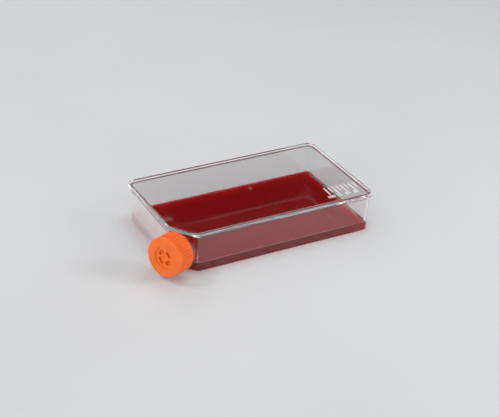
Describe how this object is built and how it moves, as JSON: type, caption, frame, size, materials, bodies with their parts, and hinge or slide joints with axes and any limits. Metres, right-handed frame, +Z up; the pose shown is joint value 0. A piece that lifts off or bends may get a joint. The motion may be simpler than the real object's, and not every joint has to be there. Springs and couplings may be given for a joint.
{
  "type": "cell culture flask",
  "caption": "Flat clear rectangular cell culture flask with a cut corner, an angled neck and a vented screw cap, holding red culture medium.",
  "frame": {"origin": "middle of the flat underside of the flask, under the centre of the rectangle that the rim is cut from", "axes": "+X along the flask away from the neck, +Y across it to the side away from the neck, +Z up"},
  "size_m": [0.2038, 0.1204, 0.0376],
  "materials": {
    "clear_tray": "clear polystyrene, polished moulding",
    "clear_plate": "clear polystyrene, polished moulding",
    "medium": "clear red liquid",
    "cap": "satin orange polyethylene, fluted grip",
    "membrane": "matt filter, dark orange in the shade of the slots"
  },
  "bodies": {
    "flask": {"flask_tray": "clear_tray", "top_plate": "clear_plate", "culture_medium": "medium"},
    "cap_lift": {"vent_membrane": "membrane"},
    "cap": {"screw_cap": "cap"}
  },
  "joints": [
    {"name": "cap_rise", "type": "slide", "parent": "flask", "child": "cap_lift", "axis": [-0.8915, -0.4445, 0.0872], "range_m": [0, 0.019]},
    {"name": "cap_turn", "type": "hinge", "parent": "cap_lift", "child": "cap", "pos_m": [-0.0851, -0.04175, 0.0189], "axis": [-0.8915, -0.4445, 0.0872], "range_deg": [0, 1620]}
  ],
  "couplings": [
    {"joint": "cap_rise", "follows": "cap_turn", "m_per_rad": 0.00066845}
  ]
}
